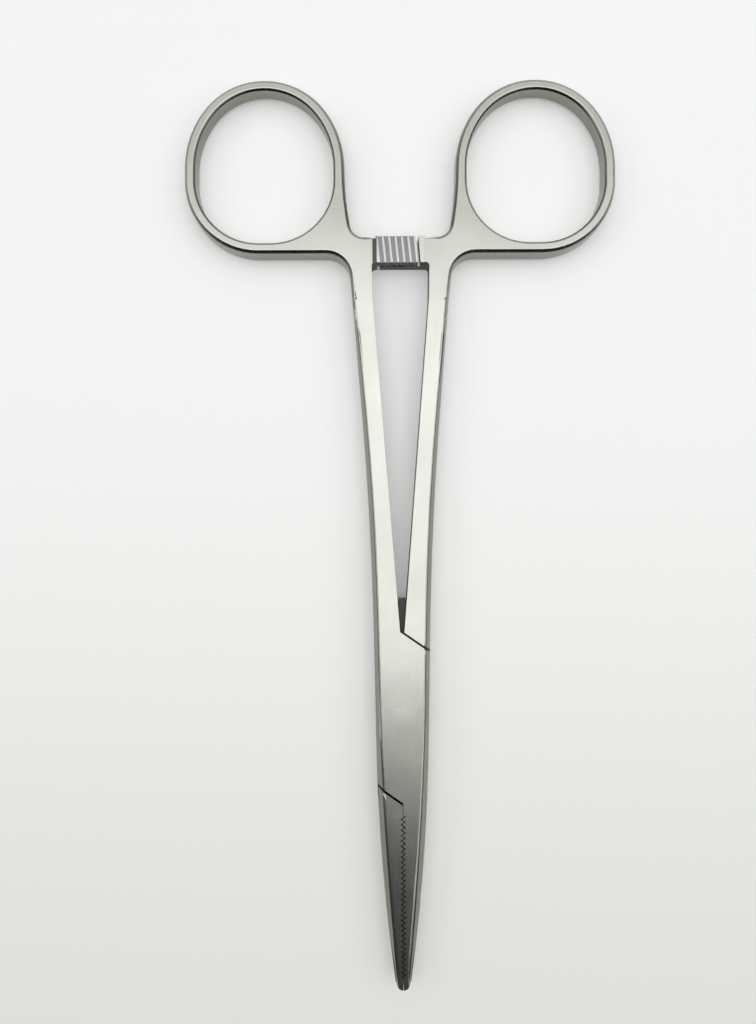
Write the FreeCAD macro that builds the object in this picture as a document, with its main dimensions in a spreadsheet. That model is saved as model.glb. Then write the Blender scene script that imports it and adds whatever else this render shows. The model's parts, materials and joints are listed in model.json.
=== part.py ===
"""Straight mosquito forceps: two crossed halves on a box lock pin, with finger rings and a ratchet.

Millimetres. The origin is on the pin's axis, at the underside of the box lock. +Y runs to the
finger rings, -Y to the jaw tips, and +Z up from the surface that the forceps lie on. Everything
is symmetric about the middle plane, at half the thickness of the box lock.
"""
import FreeCAD
import Part
import math
import os
import Sketcher
from FreeCAD import Vector

doc = FreeCAD.newDocument("mosquito_forceps")
sheet = doc.addObject("Spreadsheet::Sheet", "Sizes")


class Size:
    """A length or number that knows its value and the expression that gives it."""

    def __init__(self, value, text):
        self.value = float(value)
        self.text = text

    @staticmethod
    def of(number):
        """Give a plain number as a Size."""
        return number if isinstance(number, Size) else Size(number, f"{number}")

    def joined(self, other, sign, value):
        """Give the Size of a sum, difference, product or quotient with another one."""
        return Size(value, f"({self.text} {sign} {Size.of(other).text})")

    def __add__(self, other):
        return self.joined(other, "+", self.value + Size.of(other).value)

    def __sub__(self, other):
        return self.joined(other, "-", self.value - Size.of(other).value)

    def __mul__(self, other):
        return self.joined(other, "*", self.value * Size.of(other).value)

    def __truediv__(self, other):
        return self.joined(other, "/", self.value / Size.of(other).value)

    def __radd__(self, other):
        return Size.of(other) + self

    def __rsub__(self, other):
        return Size.of(other) - self

    def __rmul__(self, other):
        return Size.of(other) * self

    def __neg__(self):
        return Size(-self.value, f"(-1 * {self.text})")

    def root(self):
        """Give the square root."""
        return Size(math.sqrt(self.value), f"sqrt({self.text})")


def size(name, value):
    """Write one driving dimension to the sheet and give it back as a Size."""
    size.row += 1
    sheet.set(f"A{size.row}", name)
    sheet.set(f"B{size.row}", str(value))
    sheet.setAlias(f"B{size.row}", name)
    return Size(value, f"{sheet.Name}.{name}")


size.row = 0

# Box lock: its thickness and half widths, and where the two halves meet on its faces.
box_thickness = size("box_thickness", 4.4)
waist_y = size("waist_y", 1.0)
waist_half_width = size("waist_half_width", 3.7)
box_end_y = size("box_end_y", 11.0)
box_end_half_width = size("box_end_half_width", 3.4)
crotch_y = size("crotch_y", 11.75)
crotch_half_gap = size("crotch_half_gap", 0.3)
seam_slope = size("seam_slope", 0.697)
seam_gap = size("seam_gap", 0.35)

# Tongue: the middle layer of the box lock, its hub round the pin, and its travel.
tongue_thickness = size("tongue_thickness", 1.5)
tongue_face_clearance = size("tongue_face_clearance", 0.05)
tongue_edge_clearance = size("tongue_edge_clearance", 0.1)
slot_end_clearance = size("slot_end_clearance", 0.3)
slot_root_clearance = size("slot_root_clearance", 0.2)
hub_radius = size("hub_radius", 2.85)
wing_end_y = size("wing_end_y", 16.2)
wing_end_x = size("wing_end_x", 0.4)
root_end_y = size("root_end_y", 12.5)
shoulder_slope = size("shoulder_slope", 0.325)
window_slope = size("window_slope", 0.4245)
pin_radius = size("pin_radius", 1.25)
pin_clearance = size("pin_clearance", 0.03)

# Jaws: half width, half thickness and serrations.
tip_y = size("tip_y", 37.8)
tip_half_width = size("tip_half_width", 0.95)
tip_half_thickness = size("tip_half_thickness", 0.85)
jaw_mid_y = size("jaw_mid_y", 25.0)
jaw_mid_half_width = size("jaw_mid_half_width", 2.45)
jaw_mid_half_thickness = size("jaw_mid_half_thickness", 1.6)
box_end_half_thickness = size("box_end_half_thickness", 2.12)
serration_start_y = size("serration_start_y", 13.2)
serration_pitch = size("serration_pitch", 0.74)
serration_count = size("serration_count", 31)
serration_depth = size("serration_depth", 0.36)
jaw_gap = size("jaw_gap", 0.06)

# Shanks: half width over both, half thickness, and the V between them.
shank_mid_y = size("shank_mid_y", 30.0)
shank_mid_half_width = size("shank_mid_half_width", 4.6)
shank_mid_half_thickness = size("shank_mid_half_thickness", 2.0)
shank_far_y = size("shank_far_y", 45.0)
shank_far_half_width = size("shank_far_half_width", 5.65)
shank_far_half_thickness = size("shank_far_half_thickness", 1.92)
shank_end_y = size("shank_end_y", 57.3)
shank_end_half_width = size("shank_end_half_width", 6.65)
shank_end_half_thickness = size("shank_end_half_thickness", 1.85)
shank_end_half_gap = size("shank_end_half_gap", 3.87)

# Ground facets along the outer edges, and the crown of the top and bottom faces.
facet_width = size("facet_width", 0.65)
facet_depth = size("facet_depth", 1.2)
jaw_facet_width = size("jaw_facet_width", 0.8)
jaw_facet_depth = size("jaw_facet_depth", 0.96)
tip_facet_width = size("tip_facet_width", 0.25)
tip_facet_depth = size("tip_facet_depth", 0.5)
crown = size("crown", 0.14)
flat_crown = size("flat_crown", 0.02)

# Between shanks and rings: where the ratchet arms lie and the webs spread.
arm_rise = size("arm_rise", 4.9)
arm_width = size("arm_width", 3.6)
lug_flare = size("lug_flare", 0.08)
lug_reach = size("lug_reach", 0.75)
lug_fillet = size("lug_fillet", 0.5)
web_flare = size("web_flare", 0.55)
web_outer_fillet = size("web_outer_fillet", 3.3)
web_inner_step = size("web_inner_step", 0.1)
web_inner_fillet = size("web_inner_fillet", 1.9)

# Finger rings: ovals a little longer than wide, rounder at the far end than at the sides.
ring_spread = size("ring_spread", 1.0)
ring_foot_rise = size("ring_foot_rise", 1.3)
ring_half_width = size("ring_half_width", 9.45)
ring_stretch = size("ring_stretch", 1.05)
ring_side_ease = size("ring_side_ease", 0.55)
ring_corner_ease = size("ring_corner_ease", 0.85)
ring_wall = size("ring_wall", 1.5)
ring_far_half_thickness = size("ring_far_half_thickness", 1.35)
ring_facet_width = size("ring_facet_width", 0.4)
ring_facet_depth = size("ring_facet_depth", 1.0)
hole_facet_width = size("hole_facet_width", 0.3)
hole_facet_depth = size("hole_facet_depth", 0.85)

# Ratchet: the ends of the arms, the ridges on top and the teeth between the arms.
arm_tip_x = size("arm_tip_x", 2.1)
arm_tip_lean = size("arm_tip_lean", 0.3)
arm_tip_gap = size("arm_tip_gap", 0.35)
arm_face_clearance = size("arm_face_clearance", 0.04)
ridge_pitch = size("ridge_pitch", 0.87)
ridge_crest = size("ridge_crest", 0.28)
ridge_depth = size("ridge_depth", 0.32)
ridge_count = size("ridge_count", 7)
tooth_count = size("tooth_count", 4)
tooth_flat = size("tooth_flat", 0.1)
tooth_depth = size("tooth_depth", 0.35)
arm_root = size("arm_root", 0.2)
groove_run = size("groove_run", 0.3)
doc.recompute()

# Values that several sub-parts share.
middle = box_thickness / 2
half_tongue = tongue_thickness / 2
half_slot = half_tongue + tongue_face_clearance
wing_slant = (hub_radius - wing_end_x) / wing_end_y
arm_near_y = shank_end_y + arm_rise
arm_far_y = arm_near_y + arm_width
lug_gap_x = shank_end_half_gap + lug_flare
lug_x = lug_gap_x - lug_reach
web_foot_x = shank_end_half_width + web_flare
web_inner_x = shank_end_half_width - web_inner_step
ring_inner_x = shank_end_half_width + ring_spread
ring_foot_y = arm_near_y + ring_foot_rise
ring_half_length = ring_half_width + ring_stretch
ring_x = ring_inner_x + ring_wall + ring_half_width
ring_y = ring_foot_y + ring_wall + ring_half_length
# Outlines that cut away a whole side run out to here, beyond every edge of the stem.
reach = 3 * waist_half_width
# Points closer than this count as touching when an edge is picked by its place.
touch = 0.01


def level(offset):
    """Give the height that lies an offset above the middle plane."""
    return middle + offset


def origin_plane(body, role):
    """Find one of a body's own origin planes."""
    return [plane for plane in body.Origin.OriginFeatures if plane.Role == role][0]


def new_sketch(body, name, role="XY_Plane", offset=None):
    """Attach a sketch to one of the body's origin planes, at an offset along its normal."""
    sketch = body.newObject("Sketcher::SketchObject", name)
    sketch.AttachmentSupport = (origin_plane(body, role), [""])
    sketch.MapMode = "FlatFace"
    if offset is not None:
        sketch.setExpression(".AttachmentOffset.Base.z", offset.text)
    return sketch


def arc_between(start, end, radius):
    """Give the short arc from start to end, with its centre to the left when radius is positive."""
    chord = end - start
    half = chord.Length / 2
    bend = abs(radius)
    left = Vector(-chord.y, chord.x, 0).normalize() * math.copysign(1, radius)
    centre = (start + end) / 2 + left * math.sqrt(max(bend * bend - half * half, 0))
    middle_point = centre - left * bend
    return Part.Arc(start, middle_point, end)


def draw(sketch, corners, arcs=None):
    """Draw a closed outline through corners, all of them placed by expressions.

    arcs gives, by the number of the corner that an edge starts at, the radius of an edge that is
    an arc. A positive radius has its centre to the left of the edge's direction.
    """
    arcs = arcs or {}
    points = [Vector(Size.of(x).value, Size.of(y).value, 0) for x, y in corners]
    ends = []
    for index, point in enumerate(points):
        following = points[(index + 1) % len(points)]
        if index in arcs:
            arc = arc_between(point, following, arcs[index].value)
            edge = sketch.addGeometry(arc, False)
            flipped = sketch.getPoint(edge, 1).distanceToPoint(point) > touch
            ends.append((edge, 2 if flipped else 1, 1 if flipped else 2))
        else:
            edge = sketch.addGeometry(Part.LineSegment(point, following), False)
            ends.append((edge, 1, 2))
    for index, (x, y) in enumerate(corners):
        edge, start, _ = ends[index]
        before, _, stop = ends[index - 1]
        sketch.addConstraint(Sketcher.Constraint("Coincident", before, stop, edge, start))
        for kind, length in (("DistanceX", Size.of(x)), ("DistanceY", Size.of(y))):
            row = sketch.addConstraint(Sketcher.Constraint(kind, edge, start, length.value))
            sketch.setExpression(f"Constraints[{row}]", length.text)
    for index, radius in arcs.items():
        bend = radius if radius.value > 0 else -radius
        row = sketch.addConstraint(Sketcher.Constraint("Radius", ends[index][0], bend.value))
        sketch.setExpression(f"Constraints[{row}]", bend.text)
    return sketch


def pad(body, name, sketch, length):
    """Pad a sketch by a length along its normal."""
    feature = body.newObject("PartDesign::Pad", name)
    feature.Profile = sketch
    feature.setExpression("Length", length.text)
    doc.recompute()
    return feature


def pocket(body, name, sketch, side="both", length=None):
    """Cut a sketch out of the body: both ways, or above or below it, and check that it cuts."""
    before = body.Shape.Volume
    feature = body.newObject("PartDesign::Pocket", name)
    feature.Profile = sketch
    feature.SideType = "Symmetric" if side == "both" else "One side"
    feature.Type = "ThroughAll" if length is None else "Length"
    feature.Reversed = side == "above"
    if length is not None:
        feature.setExpression("Length", length.text)
    doc.recompute()
    if body.Shape.Volume >= before:
        raise RuntimeError(f"{name} cuts nothing")
    return feature


def pattern(body, name, original, sketch, axis, pitch, count):
    """Repeat a cut along an axis of its sketch."""
    feature = body.newObject("PartDesign::LinearPattern", name)
    feature.Originals = [original]
    feature.Direction = (sketch, [axis])
    feature.setExpression("Length", (pitch * (count - 1)).text)
    feature.setExpression("Occurrences", count.text)
    body.Tip = feature
    doc.recompute()
    return feature


def edges_where(shape, test):
    """List the names of the edges whose middle point passes a test."""
    names = []
    for number, edge in enumerate(shape.Edges, 1):
        first, last = edge.ParameterRange
        if test(edge.valueAt((first + last) / 2), edge):
            names.append(f"Edge{number}")
    return names


def fillet(body, name, radius, test):
    """Round the edges that pass a test."""
    names = edges_where(body.Shape, test)
    before = body.Tip
    feature = body.newObject("PartDesign::Fillet", name)
    feature.Base = (before, names)
    feature.setExpression("Radius", radius.text)
    body.Tip = feature
    doc.recompute()
    return feature


def wall_comes_first(shape, edge):
    """Tell whether the first of the two faces that meet at an edge stands upright."""
    face = shape.ancestorsOfType(edge, Part.Face)[0]
    first, last = edge.ParameterRange
    place = face.Surface.parameter(edge.valueAt((first + last) / 2))
    return abs(face.normalAt(*place).z) < 0.5


def chamfer(body, name, width, depth, test):
    """Grind a facet, width in plan and depth down the wall, along the run of edges that pass a test."""
    names = edges_where(body.Shape, test)
    flipped = not wall_comes_first(body.Shape, body.Shape.getElement(names[0]))
    before = body.Tip
    feature = body.newObject("PartDesign::Chamfer", name)
    feature.Base = (before, names)
    feature.ChamferType = "Two distances"
    feature.FlipDirection = flipped
    feature.setExpression("Size", depth.text)
    feature.setExpression("Size2", width.text)
    body.Tip = feature
    doc.recompute()
    return feature


def stem_section(body, name, y, half_width, half_thickness, facet, depth, rise):
    """Draw the cross-section of the closed forceps at one place along it.

    Two crowned faces, four ground facets and two upright sides.
    """
    sketch = new_sketch(body, name, "XZ_Plane", -y)
    flat = half_width - facet
    shoulder = half_thickness - rise
    side = half_thickness - depth
    corners = [
        (flat, level(shoulder)), (-flat, level(shoulder)),
        (-half_width, level(side)), (-half_width, level(-side)),
        (-flat, level(-shoulder)), (flat, level(-shoulder)),
        (half_width, level(-side)), (half_width, level(side)),
    ]
    bend = (flat * flat + rise * rise) / (2 * rise)
    return draw(sketch, corners, {0: bend, 4: bend})


def add_stem(body):
    """Loft the ground outside of jaws, box lock and shanks, which both halves share."""
    stations = [
        ("tip", -tip_y, tip_half_width, tip_half_thickness,
         tip_facet_width, tip_facet_depth, flat_crown),
        ("jaw", -jaw_mid_y, jaw_mid_half_width, jaw_mid_half_thickness,
         jaw_facet_width, jaw_facet_depth, crown / 2),
        ("box_end", -box_end_y, box_end_half_width, box_end_half_thickness,
         jaw_facet_width, facet_depth, crown),
        ("waist", waist_y, waist_half_width, middle, facet_width, facet_depth, crown),
        ("shank", shank_mid_y, shank_mid_half_width, shank_mid_half_thickness,
         facet_width, facet_depth, crown),
        ("shank_far", shank_far_y, shank_far_half_width, shank_far_half_thickness,
         (facet_width + ring_facet_width) / 2, (facet_depth + ring_facet_depth) / 2, crown / 2),
        ("shank_end", shank_end_y, shank_end_half_width, shank_end_half_thickness,
         ring_facet_width, ring_facet_depth, flat_crown),
    ]
    sections = []
    for name, y, half_width, half_thickness, facet, depth, rise in stations:
        sections.append(stem_section(body, f"{body.Label}_{name}_section", y, half_width,
                                     half_thickness, facet, depth, rise))
    doc.recompute()
    loft = body.newObject("PartDesign::AdditiveLoft", f"{body.Label}_stem")
    loft.Profile = sections[0]
    loft.Sections = [(section, [""]) for section in sections[1:]]
    loft.Ruled = False
    doc.recompute()
    # The tip is rounded in plan.
    back = tip_half_width - tip_y
    front = -tip_half_width - tip_y
    cut_through(body, "nose", [
        (-tip_half_width, back), (0, -tip_y), (tip_half_width, back),
        (2 * tip_half_width, back), (2 * tip_half_width, front),
        (-2 * tip_half_width, front), (-2 * tip_half_width, back),
    ], {0: tip_half_width, 1: tip_half_width})


def ring_oval(wall, side):
    """Give corners and arc radii of a finger ring's oval, grown outwards by a wall."""
    half_width = ring_half_width + wall
    far_radius = half_width - ring_side_ease
    near_radius = half_width - ring_corner_ease
    rise = ring_stretch + ring_side_ease
    side_radius = (half_width * half_width + rise * rise - far_radius * far_radius) / (
        2 * ring_side_ease)
    spread = side_radius - far_radius
    joint_x = far_radius * (side_radius - half_width) / spread
    joint_y = rise + far_radius * rise / spread
    drop = ring_stretch + ring_corner_ease
    foot = ring_half_length + wall
    local = [
        (-half_width, 0), (-joint_x, joint_y), (joint_x, joint_y), (half_width, 0),
        (half_width, -drop), (ring_corner_ease, -foot), (-ring_corner_ease, -foot),
        (-half_width, -drop),
    ]
    corners = [(side * (ring_x + x), ring_y + y) for x, y in local]
    arcs = {0: side_radius, 1: far_radius, 2: side_radius, 4: near_radius, 6: near_radius}
    return corners, {index: -side * radius for index, radius in arcs.items()}


def add_bow(body, side):
    """Add a finger ring with its web, on the right (side 1) or the left (side -1)."""
    oval, bends = ring_oval(ring_wall, side)
    web_drop = ring_y - arm_far_y
    web_in = ring_inner_x - web_inner_x
    web_bend = (web_drop * web_drop + web_in * web_in) / (2 * web_in)
    corners = oval[:6] + [
        (side * web_foot_x, ring_foot_y),
        (side * shank_end_half_width, shank_end_y),
        (side * shank_end_half_gap, shank_end_y),
        (side * lug_gap_x, arm_near_y),
        (side * lug_x, arm_near_y),
        (side * lug_x, arm_far_y),
        (side * web_inner_x, arm_far_y),
    ]
    arcs = {index: bends[index] for index in (0, 1, 2, 4)}
    arcs[12] = side * web_bend
    outline = draw(new_sketch(body, f"{body.Label}_bow_outline"), corners, arcs)
    pad(body, f"{body.Label}_bow", outline, box_thickness)
    for name, radius, x, y in (
            ("outer_web", web_outer_fillet, web_foot_x, ring_foot_y),
            ("inner_web", web_inner_fillet, web_inner_x, arm_far_y),
            ("lug", lug_fillet, lug_gap_x, arm_near_y)):
        fillet(body, f"{body.Label}_{name}", radius,
               lambda point, edge: upright(point, edge, side * x.value, y.value))


def upright(point, edge, x, y):
    """Tell whether an edge runs upright through a place in plan."""
    along = edge.tangentAt(edge.ParameterRange[0])
    return math.hypot(point.x - x, point.y - y) < touch and abs(along.z) > 1 - touch


def grind_bow(body, side):
    """Thin the ring and web towards the far end, cut the finger hole and grind the edges."""
    far_y = ring_y + 2 * ring_half_length
    for name, sign in (("top", 1), ("bottom", -1)):
        profile = new_sketch(body, f"{body.Label}_{name}_grind", "YZ_Plane")
        draw(profile, [
            (shank_end_y, level(sign * shank_end_half_thickness)),
            (far_y, level(sign * bow_half_thickness(far_y))),
            (far_y, level(sign * box_thickness)),
            (shank_end_y, level(sign * box_thickness)),
        ])
        pocket(body, f"{body.Label}_{name}_taper", profile)
    cut_through(body, "finger_hole", *ring_oval(Size.of(0), side))
    for name, sign in (("top", 1), ("bottom", -1)):
        chamfer(body, f"{body.Label}_{name}_ring_facet", ring_facet_width, ring_facet_depth,
                lambda point, edge: on_bow_face(point, sign) and not in_hole(point, side)
                and abs(point.x) > lug_gap_x.value + touch)
        chamfer(body, f"{body.Label}_{name}_hole_facet", hole_facet_width, hole_facet_depth,
                lambda point, edge: on_bow_face(point, sign) and in_hole(point, side))


def bow_half_thickness(y):
    """Give half the thickness of ring and web at a distance along the forceps."""
    fall = (shank_end_half_thickness - ring_far_half_thickness) / (
        ring_y + ring_half_length - shank_end_y)
    return shank_end_half_thickness - fall * (y - shank_end_y)


def on_bow_face(point, sign):
    """Tell whether a point lies on the top (sign 1) or bottom (sign -1) face of a ring or web."""
    height = sign * (point.z - middle.value)
    beyond = point.y > shank_end_y.value + touch
    return beyond and abs(height - bow_half_thickness(Size.of(point.y)).value) < touch


def in_hole(point, side):
    """Tell whether a point lies within a finger ring, up to the middle of its wall."""
    across = (point.x - side * ring_x.value) / (ring_half_width + ring_wall / 2).value
    along = (point.y - ring_y.value) / (ring_half_length + ring_wall / 2).value
    return across * across + along * along < 1


def cut_through(body, name, corners, arcs=None):
    """Cut everything within an outline away, through the whole thickness."""
    outline = draw(new_sketch(body, f"{body.Label}_{name}_outline"), corners, arcs)
    pocket(body, f"{body.Label}_{name}", outline)


def seam_y(x, gap):
    """Give the height in plan of the upper seam of the cheek at x, moved outwards by a gap."""
    return crotch_y - seam_slope * (x + crotch_half_gap) + gap


def v_edge(y):
    """Give half the gap between the shanks at a distance along the forceps."""
    slope = (shank_end_half_gap - crotch_half_gap) / (shank_end_y - crotch_y)
    return crotch_half_gap + slope * (y - crotch_y)


def cut_levels(body, name, corners, arcs=None):
    """Cut an outline away above and below the tongue, and leave the middle layer."""
    for side, offset in (("above", level(half_tongue)), ("below", level(-half_tongue))):
        sketch = new_sketch(body, f"{body.Label}_{name}_{side}_outline", offset=offset)
        pocket(body, f"{body.Label}_{name}_{side}", draw(sketch, corners, arcs), side)


def bore(body, radius):
    """Bore the pin's hole."""
    sketch = new_sketch(body, f"{body.Label}_pin_hole_outline")
    circle(sketch, radius)
    pocket(body, f"{body.Label}_pin_hole", sketch)


def circle(sketch, radius):
    """Draw a circle on the sketch's origin."""
    edge = sketch.addGeometry(Part.Circle(Vector(0, 0, 0), Vector(0, 0, 1), radius.value), False)
    sketch.addConstraint(Sketcher.Constraint("Coincident", edge, 3, -1, 1))
    row = sketch.addConstraint(Sketcher.Constraint("Radius", edge, radius.value))
    sketch.setExpression(f"Constraints[{row}]", radius.text)


def add_arm(body, name, near_x, far_x, root_x, bottom, top):
    """Add a straight piece of ratchet arm, from its root to a tip that may lean."""
    sketch = new_sketch(body, f"{body.Label}_{name}_outline", offset=bottom)
    draw(sketch, [(root_x, arm_near_y), (near_x, arm_near_y), (far_x, arm_far_y),
                  (root_x, arm_far_y)])
    pad(body, f"{body.Label}_{name}", sketch, top - bottom)


def groove_arm(body, name, x, height, way, count, crest, depth):
    """Cut a row of V grooves across a ratchet arm, upwards (way 1) or downwards (way -1)."""
    sketch = new_sketch(body, f"{body.Label}_{name}_outline", "XZ_Plane", groove_run - arm_near_y)
    width = ridge_pitch - crest
    outside = height - way * depth
    draw(sketch, [
        (x, outside), (x, height), (x + width / 2, height + way * depth), (x + width, height),
        (x + width, outside),
    ])
    length = arm_far_y - arm_near_y + 2 * groove_run
    cut = pocket(body, f"{body.Label}_{name}", sketch, "below", length)
    pattern(body, f"{body.Label}_{name}s", cut, sketch, "H_Axis", ridge_pitch, count)


def jaw_seam_corners(side):
    """Give the corners of a jaw's meeting face, from the root to beyond the tip.

    Between two plain stretches it zigzags across the middle line, in step with the other jaw.
    """
    face = side * jaw_gap / 2
    swing = serration_depth / 2
    corners = [(face, -serration_start_y)]
    for number in range(int(serration_count.value)):
        start = serration_start_y + serration_pitch * number
        corners.append((face + swing, -(start + serration_pitch / 4)))
        corners.append((face - swing, -(start + serration_pitch * 3 / 4)))
    corners.append((face, -(serration_start_y + serration_pitch * int(serration_count.value))))
    corners.append((face, -2 * tip_y))
    return corners


def wing_x(y, clearance=0):
    """Give how far from the middle line the slanted edge of the tongue lies at y."""
    return hub_radius + clearance - wing_slant * y


def slot_corners():
    """Outline the slot through the box lock, with its two side windows."""
    top = wing_end_y + slot_end_clearance
    foot = root_end_y + slot_root_clearance
    corner_x = wing_x(0, tongue_edge_clearance) / (1 + wing_slant * window_slope)
    corner_y = window_slope * corner_x
    return [
        (-wing_x(top, tongue_edge_clearance), top), (-corner_x, corner_y),
        (-reach, window_slope * reach), (-reach, -foot),
        (wing_x(foot, tongue_edge_clearance), -foot), (corner_x, -corner_y),
        (reach, -window_slope * reach), (reach, top),
    ]


def build_box_half():
    """Build the half with the left ring, the cheeks of the box lock and the right jaw."""
    body = doc.addObject("PartDesign::Body", "box_half")
    body.Label = "box_half"
    add_bow(body, -1)
    grind_bow(body, -1)
    add_stem(body)
    cut_through(body, "right_shank_cut", [
        (-crotch_half_gap, crotch_y),
        (reach, seam_y(reach, 0)),
        (reach, shank_end_y),
        (-shank_end_half_gap, shank_end_y),
    ])
    cut_through(body, "left_jaw_cut", [
        (jaw_gap / 2, -seam_y(0, 0)),
        (-reach, -seam_y(reach, 0)),
        (-reach, -2 * tip_y),
    ] + jaw_seam_corners(1)[::-1])
    sketch = draw(new_sketch(body, "box_half_slot_outline", offset=level(half_slot)), slot_corners())
    pocket(body, "box_half_slot", sketch, "below", 2 * half_slot)
    bore(body, pin_radius)
    top = level(bow_half_thickness(arm_far_y))
    face = level(arm_face_clearance / 2)
    add_arm(body, "upper_arm", arm_tip_x + arm_tip_lean, arm_tip_x, -lug_x - arm_root, face, top)
    first_ridge = arm_tip_x + arm_tip_lean / 2 - ridge_pitch * ridge_count
    groove_arm(body, "ridge_gap", first_ridge, top, -1, ridge_count, ridge_crest, ridge_depth)
    first_tooth = arm_tip_x - ridge_pitch * tooth_count
    groove_arm(body, "tooth_gap", first_tooth, face, 1, tooth_count, tooth_flat, tooth_depth)
    return body


def build_tongue_half():
    """Build the half with the right ring, the tongue through the box lock and the left jaw."""
    body = doc.addObject("PartDesign::Body", "tongue_half")
    body.Label = "tongue_half"
    add_bow(body, 1)
    grind_bow(body, 1)
    add_stem(body)
    seam = jaw_seam_corners(-1)
    hub_x = hub_radius / (1 + shoulder_slope * shoulder_slope).root()
    hub_y = hub_x * shoulder_slope
    cut_through(body, "left_shank_cut", [
        (shank_end_half_gap, shank_end_y),
        (v_edge(wing_end_y), wing_end_y),
        (-wing_end_x, wing_end_y),
        (-hub_radius, 0),
        (-hub_x, -hub_y),
        (-reach, -shoulder_slope * reach),
        (-reach, shank_end_y),
    ], {3: hub_radius})
    cut_through(body, "right_jaw_cut", [
        (hub_radius, 0),
        (hub_x, hub_y),
        (reach, shoulder_slope * reach),
        (reach, -2 * tip_y),
    ] + seam[::-1] + [
        (-jaw_gap / 2, -root_end_y),
        (wing_x(root_end_y), -root_end_y),
    ], {0: hub_radius})
    shoulder_y = seam_y(crotch_half_gap, seam_gap)
    cut_levels(body, "cheek_room", [
        (shank_end_half_gap, shank_end_y),
        (v_edge(shoulder_y), shoulder_y),
        (reach, seam_y(reach, seam_gap)),
        (reach, -2 * tip_y),
    ] + seam[::-1] + [
        (-jaw_gap / 2, -seam_y(0, seam_gap)),
        (-reach, -seam_y(reach, seam_gap)),
        (-reach, shank_end_y),
    ])
    bore(body, pin_radius + pin_clearance)
    bottom = level(-bow_half_thickness(arm_far_y))
    face = level(-arm_face_clearance / 2)
    tip = -lug_x + arm_tip_gap
    add_arm(body, "lower_arm", tip, tip, lug_x + arm_root, bottom, face)
    add_arm(body, "arm_shoulder", arm_tip_x + arm_tip_lean + arm_tip_gap, arm_tip_x + arm_tip_gap,
            lug_x + arm_root, bottom, level(bow_half_thickness(arm_far_y)))
    groove_arm(body, "tooth_gap", tip, face, -1, tooth_count, tooth_flat, tooth_depth)
    return body


def build_pin():
    """Build the pin, whose ends are ground flat at the two faces of the box lock."""
    body = doc.addObject("PartDesign::Body", "pivot_pin")
    body.Label = "pivot_pin"
    sketch = new_sketch(body, "pin_outline")
    circle(sketch, pin_radius)
    pad(body, "pin", sketch, box_thickness)
    return body


sub_parts = [build_box_half(), build_tongue_half(), build_pin()]
doc.recompute()
failed = [item.Name for item in doc.Objects if {"Invalid", "Error"} & set(item.State)]
if failed:
    raise RuntimeError(f"failed features: {failed}")
for sub_part in sub_parts:
    shape = sub_part.Shape
    if shape.isNull() or not shape.isValid() or len(shape.Solids) != 1:
        raise RuntimeError(f"{sub_part.Label} is not one valid solid")
os.makedirs("parts", exist_ok=True)
for sub_part in sub_parts:
    sub_part.Shape.exportStep(f"parts/{sub_part.Label}.step")
    print(f"{sub_part.Label}: {sub_part.Shape.Volume:.1f} mm3")
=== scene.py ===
"""Satin stainless mosquito forceps, lying closed on a white table and seen from above.

Everything is in metres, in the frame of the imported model: the origin on the axis of the box lock
pin at the underside of the box lock, +Y to the finger rings, +Z up.
"""

import json
import logging
import math
from collections.abc import Iterator
from contextlib import contextmanager
from dataclasses import dataclass
from enum import Enum, IntEnum
from typing import Any

import bmesh
import bpy
from mathutils import Euler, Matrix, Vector
from mathutils.bvhtree import BVHTree
from mathutils.interpolate import poly_3d_calc

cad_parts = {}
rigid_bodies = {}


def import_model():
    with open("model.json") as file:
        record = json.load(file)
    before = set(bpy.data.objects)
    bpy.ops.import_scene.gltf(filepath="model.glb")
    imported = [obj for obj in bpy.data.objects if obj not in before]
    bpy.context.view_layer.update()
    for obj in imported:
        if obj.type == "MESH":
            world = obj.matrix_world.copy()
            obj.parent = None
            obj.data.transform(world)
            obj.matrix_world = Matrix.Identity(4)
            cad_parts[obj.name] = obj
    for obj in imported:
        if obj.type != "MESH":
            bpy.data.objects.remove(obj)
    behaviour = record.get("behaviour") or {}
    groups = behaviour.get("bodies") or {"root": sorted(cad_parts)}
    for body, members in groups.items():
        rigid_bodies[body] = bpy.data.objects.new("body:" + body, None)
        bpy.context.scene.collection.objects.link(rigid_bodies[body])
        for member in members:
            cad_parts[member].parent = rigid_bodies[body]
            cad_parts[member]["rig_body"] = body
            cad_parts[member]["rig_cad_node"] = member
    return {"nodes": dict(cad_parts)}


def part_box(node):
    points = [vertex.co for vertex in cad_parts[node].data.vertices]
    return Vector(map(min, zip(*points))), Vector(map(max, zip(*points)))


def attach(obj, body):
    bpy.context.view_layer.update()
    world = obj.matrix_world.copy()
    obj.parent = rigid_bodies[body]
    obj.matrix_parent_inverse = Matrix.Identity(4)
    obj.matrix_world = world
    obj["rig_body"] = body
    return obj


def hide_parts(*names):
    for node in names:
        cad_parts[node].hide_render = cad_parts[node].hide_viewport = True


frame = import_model()

LOG = logging.getLogger("forceps")
MILLIMETRE = 0.001
# The colour sockets of a Mix node have the names of its other sockets, so they go by number.
MIX_A = 6
MIX_B = 7
MIX_RESULT = 2


class Brushed(Enum):
    """How a finish was brushed, as the scale of its streaks along X, Y and Z."""

    ALONG = (9.0, 0.35, 9.0)
    NOT = (1.0, 1.0, 1.0)


class Finish(IntEnum):
    """The material slots of a forging."""

    STEEL = 0
    # Rough milled steel, painted dark as the shade in slots, seams and gaps.
    MILLED_AND_SHADED = 1
    RIDGES = 2


def linear(code: str) -> tuple[float, float, float, float]:
    """Turn an sRGB hex colour to linear light.

    Args:
        code: Six hex digits after a hash sign.

    Returns:
        Red, green, blue and alpha.
    """
    channels = []
    for place in (1, 3, 5):
        share = int(code[place:place + 2], 16) / 255
        channels.append(share / 12.92 if share <= 0.04045 else ((share + 0.055) / 1.055) ** 2.4)
    return (channels[0], channels[1], channels[2], 1.0)


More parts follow.
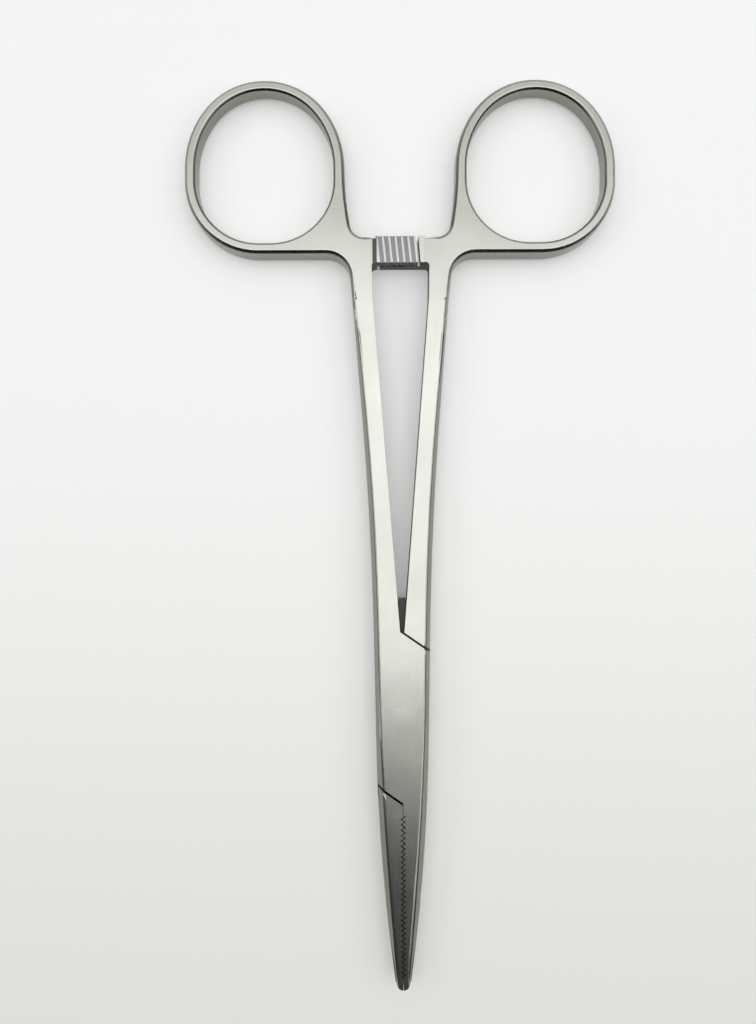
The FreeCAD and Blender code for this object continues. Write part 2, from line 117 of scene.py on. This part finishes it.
def add_node(tree: bpy.types.NodeTree, kind: str, settings: dict[str, Any] | None = None,
             values: dict[str | int, Any] | None = None,
             links: dict[str | int, bpy.types.NodeSocket] | None = None) -> bpy.types.Node:
    """Add one node with its settings, socket values and incoming links.

    Args:
        tree: The node tree that gets the node.
        kind: The node's type.
        settings: Properties of the node itself.
        values: Values of input sockets, by the socket's name or number.
        links: Output sockets to link to inputs, by the input's name or number.

    Returns:
        The new node.
    """
    node = tree.nodes.new(kind)
    for name, value in (settings or {}).items():
        setattr(node, name, value)
    for name, value in (values or {}).items():
        node.inputs[name].default_value = value
    for name, socket in (links or {}).items():
        tree.links.new(socket, node.inputs[name])
    return node


@contextmanager
def edit_mode(select_all: bool = True) -> Iterator[None]:
    """Work on the active object in edit mode, and come back to object mode.

    Args:
        select_all: Whether the work starts with everything selected.
    """
    bpy.ops.object.mode_set(mode="EDIT")
    if select_all:
        bpy.ops.mesh.select_all(action="SELECT")
    yield
    bpy.ops.object.mode_set(mode="OBJECT")


@contextmanager
def opened(mesh: bpy.types.Mesh) -> Iterator[bmesh.types.BMesh]:
    """Open a mesh for work on its edges, and write it back.

    Args:
        mesh: The mesh.

    Yields:
        The open form of the mesh.
    """
    shape = bmesh.new()
    shape.from_mesh(mesh)
    yield shape
    shape.to_mesh(mesh)
    shape.free()


@dataclass(frozen=True)
class SatinSteel:
    """Stainless steel, glass-bead blasted and then brushed lightly along the instrument.

    The eye sees a soft grey metal with broad, blurred reflections and a faint grain.
    """

    name: str
    light: str = "#CACAC3"
    dark: str = "#C1C1B9"
    # Walls and facets are painted this much darker, a painted shade that stands in for the dark
    # surroundings they reflect.
    painted_wall_shade: str = "#BEBEBA"
    steep_below: float = 0.78
    flat_above: float = 0.96
    roughness: float = 0.26
    roughness_swing: float = 0.03
    # A blasted grain is about 0.05 mm. It is drawn this coarse so that it just shows.
    grain_mm: float = 0.22
    streak_mm: float = 1.98
    cloud_mm: float = 9.0
    cloud_span: tuple[float, float] = (0.35, 0.65)
    streak_span: tuple[float, float] = (0.3, 0.7)
    bump_mm: float = 0.0003
    brushed: Brushed = Brushed.ALONG

    def material(self) -> bpy.types.Material:
        """Make the material.

        Returns:
            The new material, ready for a slot.
        """
        material = bpy.data.materials.new(self.name)
        material.use_nodes = True
        tree = material.node_tree
        tree.nodes.clear()
        place = add_node(tree, "ShaderNodeTexCoord")
        stretched = add_node(tree, "ShaderNodeMapping", values={"Scale": self.brushed.value},
                             links={"Vector": place.outputs["Object"]})
        streak = self.noise(tree, stretched.outputs["Vector"], self.streak_mm, 2.0)
        grain = self.noise(tree, place.outputs["Object"], self.grain_mm, 3.0)
        height = add_node(tree, "ShaderNodeMath", {"operation": "ADD"},
                          links={0: streak, 1: grain})
        bump = add_node(tree, "ShaderNodeBump",
                        values={"Strength": 1.0, "Distance": self.bump_mm * MILLIMETRE},
                        links={"Height": height.outputs["Value"]})
        smoothest = self.roughness - self.roughness_swing / 2
        dull = add_node(tree, "ShaderNodeMapRange",
                        values={"From Min": self.streak_span[0], "From Max": self.streak_span[1],
                                "To Min": smoothest, "To Max": smoothest + self.roughness_swing},
                        links={"Value": streak})
        shader = add_node(tree, "ShaderNodeBsdfPrincipled", values={"Metallic": 1.0},
                          links={"Base Color": self.colour(tree, place),
                                 "Roughness": dull.outputs["Result"],
                                 "Normal": bump.outputs["Normal"]})
        add_node(tree, "ShaderNodeOutputMaterial", links={"Surface": shader.outputs["BSDF"]})
        return material

    def noise(self, tree: bpy.types.NodeTree, vector: bpy.types.NodeSocket, size_mm: float,
              detail: float) -> bpy.types.NodeSocket:
        """Add a noise of a real size.

        Args:
            tree: The material's nodes.
            vector: Where the noise is read.
            size_mm: The size of its features.
            detail: How many finer layers it has.

        Returns:
            The noise, from 0 to 1.
        """
        node = add_node(tree, "ShaderNodeTexNoise",
                        values={"Scale": 1 / (size_mm * MILLIMETRE), "Detail": detail},
                        links={"Vector": vector})
        return node.outputs["Fac"]

    def colour(self, tree: bpy.types.NodeTree, place: bpy.types.Node) -> bpy.types.NodeSocket:
        """Add the steel's colour, a little cloudy, with painted shade that darkens walls and
        facets.

        Args:
            tree: The material's nodes.
            place: The node with the object's coordinates.

        Returns:
            The colour.
        """
        cloud = self.noise(tree, place.outputs["Object"], self.cloud_mm, 2.0)
        tint = add_node(tree, "ShaderNodeValToRGB", links={"Fac": cloud})
        for stop, position, code in zip(tint.color_ramp.elements, self.cloud_span,
                                        (self.dark, self.light)):
            stop.position = position
            stop.color = linear(code)
        # Painted shade: faces are multiplied darker by how steep they are, fully below steep_below
        # and not at all above flat_above.
        normal = add_node(tree, "ShaderNodeSeparateXYZ", links={"Vector": place.outputs["Normal"]})
        level = add_node(tree, "ShaderNodeMath", {"operation": "ABSOLUTE"},
                         links={0: normal.outputs["Z"]})
        painted_shade_share = add_node(tree, "ShaderNodeMapRange",
                             values={"From Min": self.steep_below, "From Max": self.flat_above,
                                     "To Min": 1.0, "To Max": 0.0},
                             links={"Value": level.outputs["Value"]})
        shaded = add_node(tree, "ShaderNodeMix", {"data_type": "RGBA", "blend_type": "MULTIPLY"},
                          values={MIX_B: linear(self.painted_wall_shade)},
                          links={"Factor": painted_shade_share.outputs["Result"],
                                 MIX_A: tint.outputs["Color"]})
        return shaded.outputs[MIX_RESULT]


@dataclass(frozen=True)
class Landmarks:
    """Where the features of the solids lie, and how near a place counts as theirs."""

    middle_z: float = 2.2 * MILLIMETRE
    # The lock's inner faces lie between these heights, and its cut walls this near the middle.
    slot_floor_z: float = 1.39 * MILLIMETRE
    slot_roof_z: float = 3.01 * MILLIMETRE
    cut_reach_x: float = 2.6 * MILLIMETRE
    # The opening between the shanks starts here, and the jaws' teeth there.
    gap_from_y: float = 13.0 * MILLIMETRE
    teeth_from_y: float = -13.1 * MILLIMETRE
    teeth_reach_x: float = 0.35 * MILLIMETRE
    tooth_foot_x: float = 0.21 * MILLIMETRE
    tooth_foot_reach: float = 0.02 * MILLIMETRE
    # Shank and bow meet at the joint. The bow has the ring, its web and a ratchet arm.
    joint_y: float = 57.3 * MILLIMETRE
    joint_reach: float = 0.1 * MILLIMETRE
    bow_from_y: float = 59.0 * MILLIMETRE
    bow_beyond_x: float = 4.6 * MILLIMETRE
    arms_from_y: float = 62.1 * MILLIMETRE
    arms_to_y: float = 65.9 * MILLIMETRE
    arm_corner: float = 0.7 * MILLIMETRE

    def in_bow(self, place: Vector) -> bool:
        """Say whether a place lies in a ring or its web.

        Args:
            place: The place.

        Returns:
            True if it does.
        """
        return place.y > self.bow_from_y and abs(place.x) > self.bow_beyond_x

    def in_arms(self, place: Vector) -> bool:
        """Say whether a place lies in the ratchet arms.

        Args:
            place: The place.

        Returns:
            True if it does.
        """
        return place.y > self.bow_from_y and abs(place.x) < self.bow_beyond_x


@dataclass(frozen=True)
class Polish:
    """How the wheel breaks the edges and turns the facets."""

    cut_radius: float = 0.04 * MILLIMETRE
    facet_radius: float = 0.28 * MILLIMETRE
    bow_radius: float = 0.10 * MILLIMETRE
    smallest_radius: float = 0.02 * MILLIMETRE
    segments: int = 3
    # An edge takes at most this share of the narrower face beside it.
    share_of_room: float = 0.42
    sharp_from: float = math.radians(14)
    cut_from: float = math.radians(78)
    smooth_below: float = math.radians(22)
    # The facets of ring and web are ground to this slope. The Z of its normal makes a face one.
    facet_slope: float = 1.05
    facet_normal_z: tuple[float, float] = (0.28, 0.66)
    facet_drop_from: float = 0.3 * MILLIMETRE
    # Each tooth's foot is opened this much more, which shows as the dark zigzag of the jaws.
    tooth_notch: float = 0.15 * MILLIMETRE
    # The tops of shank and bow are blended from one slope to the other over these rows.
    joint_rows_mm: tuple[float, ...] = (52.5, 54.0, 55.2, 56.3, 57.3, 58.3, 59.4, 60.6)
    shank_slope: float = 0.004
    bow_slope: float = 0.017


@dataclass
class Forging:
    """One forged and ground piece of the forceps, with its edges broken as by polishing."""

    node: str
    body: str
    slot: str
    steel: SatinSteel
    # The rough milled finish, whose dark colour is painted shade in slots, seams and gaps.
    milled_and_shaded: SatinSteel
    # The jaw lies on this side of the middle.
    side: int = 1
    at: Landmarks = Landmarks()
    polish: Polish = Polish()
    weld_reach: float = 0.015 * MILLIMETRE
    same_plane: float = math.radians(0.03)
    # A wall's normal has no more Z than this, one of the leaning arms no more than that.
    wall_normal_z: float = 0.1
    arm_normal_z: float = 0.3
    top_normal_z: float = 0.95
    # Corners count as level along Y within the first, and places as the same within the second.
    level_within: float = 0.05 * MILLIMETRE
    same_place: float = 0.001 * MILLIMETRE
    # A face takes the solid's normal where the solid is this near and faces this nearly its way.
    solid_reach: float = 0.02 * MILLIMETRE
    solid_facing: float = 0.9985
    turned_from: float = math.radians(9)

    def build(self) -> bpy.types.Object:
        """Copy the solid, soften its edges and dress it.

        Returns:
            The finished piece, which stands for the solid.
        """
        piece = self.copy_solid()
        self.weld(piece)
        self.turn_facets(piece.data)
        self.cut_rows(piece.data)
        self.shape(piece)
        self.sort_faces(piece)
        self.soften(piece)
        self.dress(piece)
        return piece

    def copy_solid(self) -> bpy.types.Object:
        """Make a free copy of the solid's mesh.

        Returns:
            The copy, alone in the selection.
        """
        source = frame["nodes"][self.node]
        bpy.ops.object.select_all(action="DESELECT")
        source.select_set(True)
        bpy.context.view_layer.objects.active = source
        bpy.ops.object.duplicate()
        piece = bpy.context.view_layer.objects.active
        piece.parent = None
        piece.name = f"{self.node}_polished"
        piece.data.name = piece.name
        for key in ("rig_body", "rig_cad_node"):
            del piece[key]
        return piece

    def weld(self, piece: bpy.types.Object) -> None:
        """Join the copy's loose triangles and merge those that lie in one plane.

        Args:
            piece: The copy.
        """
        with edit_mode():
            bpy.ops.mesh.remove_doubles(threshold=self.weld_reach)
        if piece.data.has_custom_normals:
            bpy.ops.mesh.customdata_custom_splitnormals_clear()
        with edit_mode():
            bpy.ops.mesh.dissolve_limited(angle_limit=self.same_plane)

    def turn_facets(self, mesh: bpy.types.Mesh) -> None:
        """Bring the ground facets of ring and web to the slope that the wheel gives them.

        Args:
            mesh: The piece's mesh.
        """
        steepest, flattest = self.polish.facet_normal_z
        heights: dict[int, float] = {}
        for face in mesh.polygons:
            if not (self.at.in_bow(face.center) and steepest < abs(face.normal.z) < flattest):
                continue
            lifts = {number: abs(mesh.vertices[number].co.z - self.at.middle_z)
                     for number in face.vertices}
            top = max(lifts.values())
            for number, lift in lifts.items():
                if top - lift > self.polish.facet_drop_from:
                    width = (top - lift) * abs(face.normal.z) / face.normal.xy.length
                    height = top - self.polish.facet_slope * width
                    heights[number] = max(heights.get(number, 0), height)
        for number, height in heights.items():
            place = mesh.vertices[number].co
            place.z = self.at.middle_z + math.copysign(height, place.z - self.at.middle_z)

    def cut_rows(self, mesh: bpy.types.Mesh) -> None:
        """Cut rows of corners across the joint of shank and bow, for the blend of their tops.

        Args:
            mesh: The piece's mesh.
        """
        with opened(mesh) as shape:
            for row in self.polish.joint_rows_mm:
                everything = [*shape.verts, *shape.edges, *shape.faces]
                bmesh.ops.bisect_plane(shape, geom=everything, plane_co=(0, row * MILLIMETRE, 0),
                                       plane_no=(0, 1, 0))

    def shape(self, piece: bpy.types.Object) -> None:
        """Open the feet of the jaw's teeth.

        Args:
            piece: The piece.
        """
        for corner in piece.data.vertices:
            place = corner.co
            off_foot = abs(place.x * self.side - self.at.tooth_foot_x)
            if place.y < self.at.teeth_from_y and off_foot < self.at.tooth_foot_reach:
                place.x += self.side * self.polish.tooth_notch

    def sort_faces(self, piece: bpy.types.Object) -> None:
        """Give the walls that the polishing wheel can't reach the milled finish, which is rougher
        and is also painted dark as shade: the lock's slot, the seams, the gap between the shanks
        and the ratchet arms.

        Args:
            piece: The piece, which gets its materials.
        """
        at = self.at
        piece.data.materials.clear()
        piece.data.materials.append(self.steel.material())
        piece.data.materials.append(self.milled_and_shaded.material())
        for face in piece.data.polygons:
            place, normal = face.center, face.normal
            heights = [piece.data.vertices[number].co.z for number in face.vertices]
            is_wall = abs(normal.z) < self.wall_normal_z
            near = abs(place.x) < at.cut_reach_x and place.y < at.gap_from_y
            in_slot = near and at.slot_floor_z < min(heights) and max(heights) < at.slot_roof_z
            in_seam = near and is_wall
            in_gap = (is_wall and normal.x * place.x < 0
                      and at.gap_from_y <= place.y < at.arms_from_y)
            in_arms = (abs(normal.z) < self.arm_normal_z and abs(place.x) < at.bow_beyond_x
                       and at.arms_from_y - at.arm_corner < place.y < at.arms_to_y)
            is_milled_and_shaded = in_slot or in_seam or in_gap or in_arms
            face.material_index = Finish.MILLED_AND_SHADED if is_milled_and_shaded else Finish.STEEL

    def soften(self, piece: bpy.types.Object) -> None:
        """Break the outer edges and shade the faces as the solid's own curves.

        Args:
            piece: The piece, with its materials.
        """
        with opened(piece.data) as shape:
            shares = shape.edges.layers.float.new("bevel_weight_edge")
            for edge in shape.edges:
                is_sharp = edge.calc_face_angle(0.0) > self.polish.sharp_from
                if len(edge.link_faces) == 2 and is_sharp:
                    edge[shares] = self.edge_share(edge)
        # A slot of their own marks the rounded edges while the normals are set.
        rounds = len(piece.data.materials)
        piece.data.materials.append(piece.data.materials[Finish.STEEL])
        modifier = piece.modifiers.new("broken_edges", "BEVEL")
        modifier.width = self.polish.facet_radius
        modifier.segments = self.polish.segments
        modifier.limit_method = "WEIGHT"
        modifier.use_clamp_overlap = False
        modifier.material = rounds
        bpy.ops.object.modifier_apply(modifier=modifier.name)
        bpy.ops.object.shade_smooth_by_angle(angle=self.polish.smooth_below)
        self.true_curves(piece.data, rounds)
        for face in piece.data.polygons:
            if face.material_index == rounds:
                face.material_index = Finish.STEEL
        piece.data.materials.pop(index=rounds)

    def edge_share(self, edge: bmesh.types.BMEdge) -> float:
        """Say how much of the widest edge radius one edge gets.

        Args:
            edge: The edge, with two faces.

        Returns:
            A share from 0 to 1.
        """
        at, polish = self.at, self.polish
        first, last = (corner.co for corner in edge.verts)
        middle = (first + last) / 2
        is_level = abs(first.y - last.y) < self.level_within
        on_joint = is_level and abs(middle.y - at.joint_y) < at.joint_reach
        in_teeth = abs(middle.x) < at.teeth_reach_x and middle.y < at.teeth_from_y
        at_milled_and_shaded = any(face.material_index == Finish.MILLED_AND_SHADED for face in edge.link_faces)
        if on_joint or in_teeth or at_milled_and_shaded or at.in_arms(middle):
            return 0.0
        radius = polish.bow_radius if at.in_bow(middle) else polish.facet_radius
        if edge.calc_face_angle(0.0) > polish.cut_from:
            radius = polish.cut_radius
        room = min(self.face_depth(edge, face) for face in edge.link_faces)
        if abs(middle.y) < at.gap_from_y:
            # No round may reach the mouth of the slot, where the tongue runs.
            room = min(room, *(abs(place.z - height) for place in (first, last)
                               for height in (at.slot_floor_z, at.slot_roof_z)))
        radius = min(radius, polish.share_of_room * room)
        return radius / polish.facet_radius if radius > polish.smallest_radius else 0.0

    def face_depth(self, edge: bmesh.types.BMEdge, face: bmesh.types.BMFace) -> float:
        """Measure how far one side of an edge runs on before its next sharp edge.

        Args:
            edge: The edge.
            face: The face on that side.

        Returns:
            The greatest distance from the edge.
        """
        found = {face}
        for _ in range(2):
            for near in list(found):
                for border in near.edges:
                    if border.calc_face_angle(math.pi) < self.polish.sharp_from:
                        found.update(border.link_faces)
        start = edge.verts[0].co
        along = (edge.verts[1].co - start).normalized()
        depth = 0.0
        for near in found:
            for corner in near.verts:
                away = corner.co - start
                depth = max(depth, (away - along * away.dot(along)).length)
        return depth

    def true_curves(self, mesh: bpy.types.Mesh, rounds: int) -> None:
        """Give each face the normals of the solid's curved face under it.

        Args:
            mesh: The piece's mesh.
            rounds: The material number that marks the rounded edges.
        """
        source = frame["nodes"][self.node].data
        tree = BVHTree.FromPolygons([corner.co for corner in source.vertices],
                                    [tuple(face.vertices) for face in source.polygons])
        normals = [Vector(normal.vector) for normal in mesh.corner_normals]
        at_corner: dict[int, Vector] = {}
        for face in mesh.polygons:
            if face.material_index == rounds:
                continue
            for loop in face.loop_indices:
                number = mesh.loops[loop].vertex_index
                place = mesh.vertices[number].co
                hits = tree.find_nearest_range(place, self.solid_reach)
                best = max(hits, key=lambda hit: hit[1].dot(face.normal), default=None)
                if best and best[1].dot(face.normal) > self.solid_facing:
                    normals[loop] = self.source_normal(source, best[2], place)
                elif normals[loop].angle(face.normal, 0.0) > self.turned_from:
                    normals[loop] = face.normal.copy()
                at_corner[number] = at_corner.get(number, Vector()) + normals[loop]
        for face in mesh.polygons:
            for loop in face.loop_indices:
                number = mesh.loops[loop].vertex_index
                if face.material_index == rounds:
                    if number in at_corner:
                        normals[loop] = at_corner[number].normalized()
                elif abs(face.normal.z) > self.top_normal_z:
                    normals[loop] = self.over_joint(mesh.vertices[number].co, normals[loop])
        mesh.normals_split_custom_set([tuple(normal) for normal in normals])

    def source_normal(self, source: bpy.types.Mesh, number: int, place: Vector) -> Vector:
        """Read the solid's own normal at a place on one of its triangles.

        Args:
            source: The solid's mesh.
            number: The triangle's number.
            place: The place.

        Returns:
            The normal.
        """
        face = source.polygons[number]
        corners = [source.vertices[index].co for index in face.vertices]
        shares = poly_3d_calc(corners, place)
        total = Vector()
        for loop, share in zip(face.loop_indices, shares):
            total += source.corner_normals[loop].vector * share
        return total.normalized()

    def over_joint(self, place: Vector, normal: Vector) -> Vector:
        """Blend the slopes of shank and bow near their joint.

        Args:
            place: A place on the top or the underside.
            normal: The normal there.

        Returns:
            The blended normal, or the same one away from the joint.
        """
        rows = self.polish.joint_rows_mm
        first = rows[0] * MILLIMETRE
        last = rows[-1] * MILLIMETRE
        if not first - self.same_place < place.y < last + self.same_place:
            return normal
        share = (place.y - first) / (last - first)
        share = share * share * (3 - 2 * share)
        rise = self.polish.bow_slope - self.polish.shank_slope
        slope = self.polish.shank_slope + share * rise
        return Vector((normal.x, slope, math.copysign(1, normal.z))).normalized()

    def dress(self, piece: bpy.types.Object) -> None:
        """Set the piece on its body and let it stand for its solid.

        Args:
            piece: The piece.
        """
        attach(piece, self.body)
        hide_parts(self.node)


@dataclass
class BoxHalf(Forging):
    """The half with the cheeks of the box lock, ground over the ends of the pin."""

    # The ridges' flanks get only a faint painted shade, so they read brighter than the satin steel.
    ridges: SatinSteel = SatinSteel("cut_ridges", light="#CACAC8", dark="#C1C1BF", painted_wall_shade="#F4F4F6")
    hole_reach: float = 1.27 * MILLIMETRE
    # The ridges of the upper arm lie between these X, and above their own feet.
    ridge_x: tuple[float, float] = (-3.0 * MILLIMETRE, 2.0 * MILLIMETRE)
    ridge_above_z: float = 3.5 * MILLIMETRE
    ridge_lean: float = math.tan(math.radians(6))
    finish_reach_x: float = 3.4 * MILLIMETRE
    finish_above_z: float = 3.2 * MILLIMETRE
    upward_from: float = 0.15

    def shape(self, piece: bpy.types.Object) -> None:
        """Close the pin's holes, which grinding leaves without a trace, and lean the ridges.

        Args:
            piece: The piece.
        """
        super().shape(piece)
        self.lean_ridges(piece.data)
        with edit_mode():
            bpy.ops.mesh.select_mode(type="FACE")
            bpy.ops.mesh.select_all(action="DESELECT")
        for face in piece.data.polygons:
            places = [piece.data.vertices[number].co.xy for number in face.vertices]
            face.select = all(place.length < self.hole_reach for place in places)
        with edit_mode(select_all=False):
            bpy.ops.mesh.delete(type="FACE")
            bpy.ops.mesh.select_all(action="SELECT")
            bpy.ops.mesh.fill_holes(sides=0)
            bpy.ops.mesh.select_all(action="SELECT")
            bpy.ops.mesh.normals_make_consistent(inside=False)

    def lean_ridges(self, mesh: bpy.types.Mesh) -> None:
        """Lean the ridges of the upper arm about the middle of its width.

        Args:
            mesh: The piece's mesh.
        """
        at = self.at
        centre_y = (at.arms_from_y + at.arms_to_y) / 2
        for corner in mesh.vertices:
            place = corner.co
            if (self.ridge_x[0] < place.x < self.ridge_x[1] and place.z > self.ridge_above_z
                    and at.arms_from_y < place.y < at.arms_to_y):
                place.x -= self.ridge_lean * (place.y - centre_y)

    def sort_faces(self, piece: bpy.types.Object) -> None:
        """Give the ridges of the upper arm the finish of cut steel, which is spared the dark
        painted shade of the milled arm walls and has only a faint painted shade on its flanks.

        Args:
            piece: The piece, which gets its materials.
        """
        super().sort_faces(piece)
        piece.data.materials.append(self.ridges.material())
        for face in piece.data.polygons:
            place = face.center
            in_arm = (self.at.arms_from_y < place.y < self.at.arms_to_y
                      and abs(place.x) < self.finish_reach_x and place.z > self.finish_above_z)
            if in_arm and face.normal.z > self.upward_from:
                face.material_index = Finish.RIDGES


@dataclass
class PivotPin(Forging):
    """The pin, ground down until its ends vanish in the cheeks."""

    hidden_by: float = 0.04 * MILLIMETRE

    def shape(self, piece: bpy.types.Object) -> None:
        """Take the pin's ends just below the ground faces of the cheeks.

        Args:
            piece: The piece.
        """
        low, high = (corner.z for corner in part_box(self.node))
        share = 1 - 2 * self.hidden_by / (high - low)
        with edit_mode():
            bpy.ops.transform.resize(value=(1, 1, share), center_override=(0, 0, (low + high) / 2))


@dataclass(frozen=True)
class Softbox:
    """A soft rectangular lamp that hangs level above the table."""

    name: str
    centre: tuple[float, float]
    width: float
    depth: float
    radiance: float
    height: float = 0.6

    def hang(self) -> bpy.types.Object:
        """Make the lamp, facing down.

        Returns:
            The lamp.
        """
        bpy.ops.object.light_add(type="AREA", location=(*self.centre, self.height))
        lamp = bpy.context.object
        lamp.name = self.name
        lamp.data.shape = "RECTANGLE"
        lamp.data.size = self.width
        lamp.data.size_y = self.depth
        lamp.data.energy = math.pi * self.radiance * self.width * self.depth
        return lamp


@dataclass
class Studio:
    """The white table, the soft lamps over it and the camera straight above."""

    lamps: tuple[Softbox, ...] = (
        Softbox("overhead_softbox", (0.0, 0.07), 0.9, 0.42, 1.46),
        Softbox("near_softbox", (0.0, -0.21), 0.9, 0.14, 0.36),
        Softbox("left_softbox", (-0.95, 0.15), 0.55, 0.9, 1.62),
        Softbox("right_softbox", (0.95, 0.05), 0.55, 0.9, 1.62),
        Softbox("front_right_softbox", (0.50, -0.38), 0.5, 0.40, 0.9),
        Softbox("far_softbox", (0.0, 0.66), 1.6, 0.76, 0.55))
    table_size: float = 3.0
    # The forceps lie on the box lock and the foot of the shanks, so the table leans a little.
    table_lean: float = 0.0062
    contact_y: float = 1.0 * MILLIMETRE
    # The table's colour fades darker towards the near side, a painted shade.
    table_near: str = "#E0E1DB"
    table_far: str = "#F2F3F2"
    table_fade: tuple[float, float] = (-0.055, 0.055)
    table_glow: float = 0.24
    # The surroundings are dark on the near side, which the rings and jaws reflect.
    world_near: str = "#171818"
    world_far: str = "#8E9090"
    world_fade: tuple[float, float] = (-0.8, 0.6)
    backdrop: str = "#E2E4E3"
    lens: float = 27.09
    sensor: float = 36.0
    clip: tuple[float, float] = (0.005, 20.0)
    camera_place: tuple[float, float, float] = (-0.00323, 0.0281, 0.1091)
    camera_roll: float = math.radians(-0.26)

    def build(self) -> None:
        """Build table, lamps, surroundings and camera."""
        self.lay_table()
        for lamp in self.lamps:
            lamp.hang()
        self.light_world()
        self.place_camera()

    def fade(self, tree: bpy.types.NodeTree, along: bpy.types.NodeSocket,
             span: tuple[float, float], near: str, far: str) -> bpy.types.NodeSocket:
        """Add nodes that fade from one colour to another along Y.

        Args:
            tree: The node tree that gets them.
            along: The vector whose Y counts.
            span: The Y at which the near colour ends, and that at which the far one starts.
            near: The colour at low Y.
            far: The colour at high Y.

        Returns:
            The colour's socket.
        """
        parts = add_node(tree, "ShaderNodeSeparateXYZ", links={"Vector": along})
        share = add_node(tree, "ShaderNodeMapRange", {"interpolation_type": "SMOOTHSTEP"},
                         values={"From Min": span[0], "From Max": span[1]},
                         links={"Value": parts.outputs["Y"]})
        mix = add_node(tree, "ShaderNodeMix", {"data_type": "RGBA"},
                       values={MIX_A: linear(near), MIX_B: linear(far)},
                       links={"Factor": share.outputs["Result"]})
        return mix.outputs[MIX_RESULT]

    def lay_table(self) -> None:
        """Make the table top, which glows a little to the camera and in reflections, and is painted
        darker towards the near side as painted shade.
        """
        bpy.ops.mesh.primitive_plane_add(size=self.table_size,
                                         location=(0, 0, -self.contact_y * self.table_lean),
                                         rotation=(math.atan(self.table_lean), 0, 0))
        table = bpy.context.object
        table.name = "table"
        material = bpy.data.materials.new("white_lacquered_table")
        material.use_nodes = True
        tree = material.node_tree
        tree.nodes.clear()
        place = add_node(tree, "ShaderNodeTexCoord")
        # Painted shade: the near side of the table is coloured darker.
        colour = self.fade(tree, place.outputs["Object"], self.table_fade, self.table_near,
                           self.table_far)
        path = add_node(tree, "ShaderNodeLightPath")
        seen = add_node(tree, "ShaderNodeMath", {"operation": "MAXIMUM"},
                        links={0: path.outputs["Is Camera Ray"], 1: path.outputs["Is Glossy Ray"]})
        strength = add_node(tree, "ShaderNodeMath", {"operation": "MULTIPLY"},
                            values={1: self.table_glow}, links={0: seen.outputs["Value"]})
        paint = add_node(tree, "ShaderNodeBsdfDiffuse", links={"Color": colour})
        glow = add_node(tree, "ShaderNodeEmission",
                        links={"Color": colour, "Strength": strength.outputs["Value"]})
        both = add_node(tree, "ShaderNodeAddShader",
                        links={0: paint.outputs["BSDF"], 1: glow.outputs["Emission"]})
        add_node(tree, "ShaderNodeOutputMaterial", links={"Surface": both.outputs["Shader"]})
        table.data.materials.append(material)

    def light_world(self) -> None:
        """Fill the shadows with dim surroundings, and show the camera a pale backdrop."""
        world = bpy.data.worlds.new("studio")
        bpy.context.scene.world = world
        world.use_nodes = True
        tree = world.node_tree
        tree.nodes.clear()
        sky = add_node(tree, "ShaderNodeTexCoord")
        colour = self.fade(tree, sky.outputs["Generated"], self.world_fade, self.world_near,
                           self.world_far)
        path = add_node(tree, "ShaderNodeLightPath")
        seen = add_node(tree, "ShaderNodeMix", {"data_type": "RGBA"},
                        values={MIX_B: linear(self.backdrop)},
                        links={"Factor": path.outputs["Is Camera Ray"], MIX_A: colour})
        background = add_node(tree, "ShaderNodeBackground",
                              links={"Color": seen.outputs[MIX_RESULT]})
        add_node(tree, "ShaderNodeOutputWorld", links={"Surface": background.outputs["Background"]})

    def place_camera(self) -> None:
        """Put the camera straight above the forceps, as the photograph was taken."""
        data = bpy.data.cameras.new("camera")
        data.lens = self.lens
        data.sensor_width = self.sensor
        data.clip_start, data.clip_end = self.clip
        camera = bpy.data.objects.new("camera", data)
        bpy.context.scene.collection.objects.link(camera)
        camera.location = Vector(self.camera_place)
        camera.rotation_euler = Euler((0, 0, self.camera_roll))
        bpy.context.scene.camera = camera


def corners(box: tuple[Vector, Vector]) -> list[list[float]]:
    """Turn a box to plain lists of numbers.

    Args:
        box: The lowest and the highest corner.

    Returns:
        The same corners as lists.
    """
    return [[float(value) for value in corner] for corner in box]


def main() -> None:
    """Build the forceps and the studio around them."""
    logging.basicConfig(level=logging.INFO)
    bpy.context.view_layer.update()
    steel = SatinSteel("satin_stainless_steel")
    # The milled finish is rougher than the satin, and its dark colour is painted shade for the
    # lock's slot, the seams, the gap between the shanks and the ratchet arms.
    milled_and_shaded = SatinSteel("milled_stainless_steel", light="#5C5C57", dark="#4E4E4A", painted_wall_shade="#FFFFFF",
                        roughness=0.5, brushed=Brushed.NOT)
    pin_steel = SatinSteel("ground_stainless_pin", brushed=Brushed.NOT)
    for forging in (
            BoxHalf("box_half", "box_half", "satin_steel", steel, milled_and_shaded),
            Forging("tongue_half", "tongue_half", "satin_steel", steel, milled_and_shaded, side=-1),
            PivotPin("pivot_pin", "box_half", "pin_steel", pin_steel, pin_steel)):
        piece = forging.build()
        LOG.info("%s: %d faces", piece.name, len(piece.data.polygons))
    Studio().build()
    bpy.context.scene.view_settings.view_transform = "Standard"


if __name__ == "__main__":
    main()
